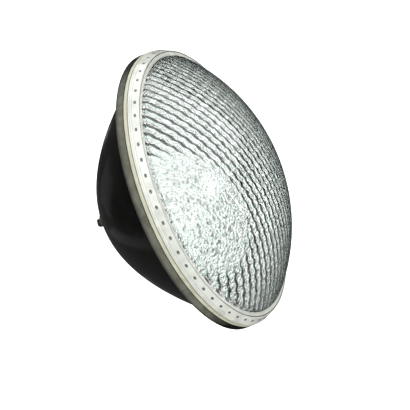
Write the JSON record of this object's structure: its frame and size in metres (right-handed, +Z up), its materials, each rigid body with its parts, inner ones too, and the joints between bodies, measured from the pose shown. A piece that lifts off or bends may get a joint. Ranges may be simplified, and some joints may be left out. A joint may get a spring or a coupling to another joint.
{
  "type": "underwater pool light",
  "caption": "Sealed-beam pool lamp: fluted glass lens on a black glass reflector bowl, held by its rim, with screw terminals at the back.",
  "frame": {"origin": "on the lamp axis, in the plane of the back face of the rim, where it seats", "axes": "front faces -Y, terminals at +Y, +Z up along the flutes of the lens"},
  "size_m": [0.1778, 0.1143, 0.1778],
  "materials": {
    "lens_glass": "clear, glossy",
    "reflector_glass": "black, glossy outside, mirror inside",
    "rim_cement": "satin",
    "ferrule_metal": "satin",
    "brass": "satin, dark with age",
    "solder": "satin",
    "steel": "satin, black oxide",
    "nickel": "satin",
    "tungsten": "matte",
    "molybdenum": "satin",
    "ceramic": "matte"
  },
  "bodies": {
    "lamp": {"ceramic_bridge": "ceramic", "exhaust_tip": "reflector_glass", "ferrule_left": "ferrule_metal", "ferrule_right": "ferrule_metal", "filament": "tungsten", "filament_clamp_left": "nickel", "filament_clamp_right": "nickel", "filament_support": "molybdenum", "lead_rod_left": "nickel", "lead_rod_right": "nickel", "lens": "lens_glass", "reflector_bowl": "reflector_glass", "rim_seal": "rim_cement", "solder_joint_left": "solder", "solder_joint_right": "solder", "terminal_post_left": "brass", "terminal_post_right": "brass"},
    "washers_left": {"clamp_washer_left": "brass", "lock_washer_left": "steel"},
    "screw_left": {"terminal_screw_left": "steel"},
    "washers_right": {"clamp_washer_right": "brass", "lock_washer_right": "steel"},
    "screw_right": {"terminal_screw_right": "steel"}
  },
  "joints": [
    {"name": "washers_left_slide", "type": "slide", "parent": "lamp", "child": "washers_left", "axis": [0, 1, 0], "range_m": [0, 0.0015]},
    {"name": "screw_left_turn", "type": "hinge", "parent": "washers_left", "child": "screw_left", "pos_m": [-0.00843, 0.061, 0.00707], "axis": [0, 1, 0], "range_deg": [0, 1080]},
    {"name": "washers_right_slide", "type": "slide", "parent": "lamp", "child": "washers_right", "axis": [0, 1, 0], "range_m": [0, 0.0015]},
    {"name": "screw_right_turn", "type": "hinge", "parent": "washers_right", "child": "screw_right", "pos_m": [0.00843, 0.061, -0.00707], "axis": [0, 1, 0], "range_deg": [0, 1080]}
  ],
  "couplings": [
    {"joint": "screw_left_turn", "follows": "washers_left_slide", "rad_per_m": 12566},
    {"joint": "screw_right_turn", "follows": "washers_right_slide", "rad_per_m": 12566}
  ]
}
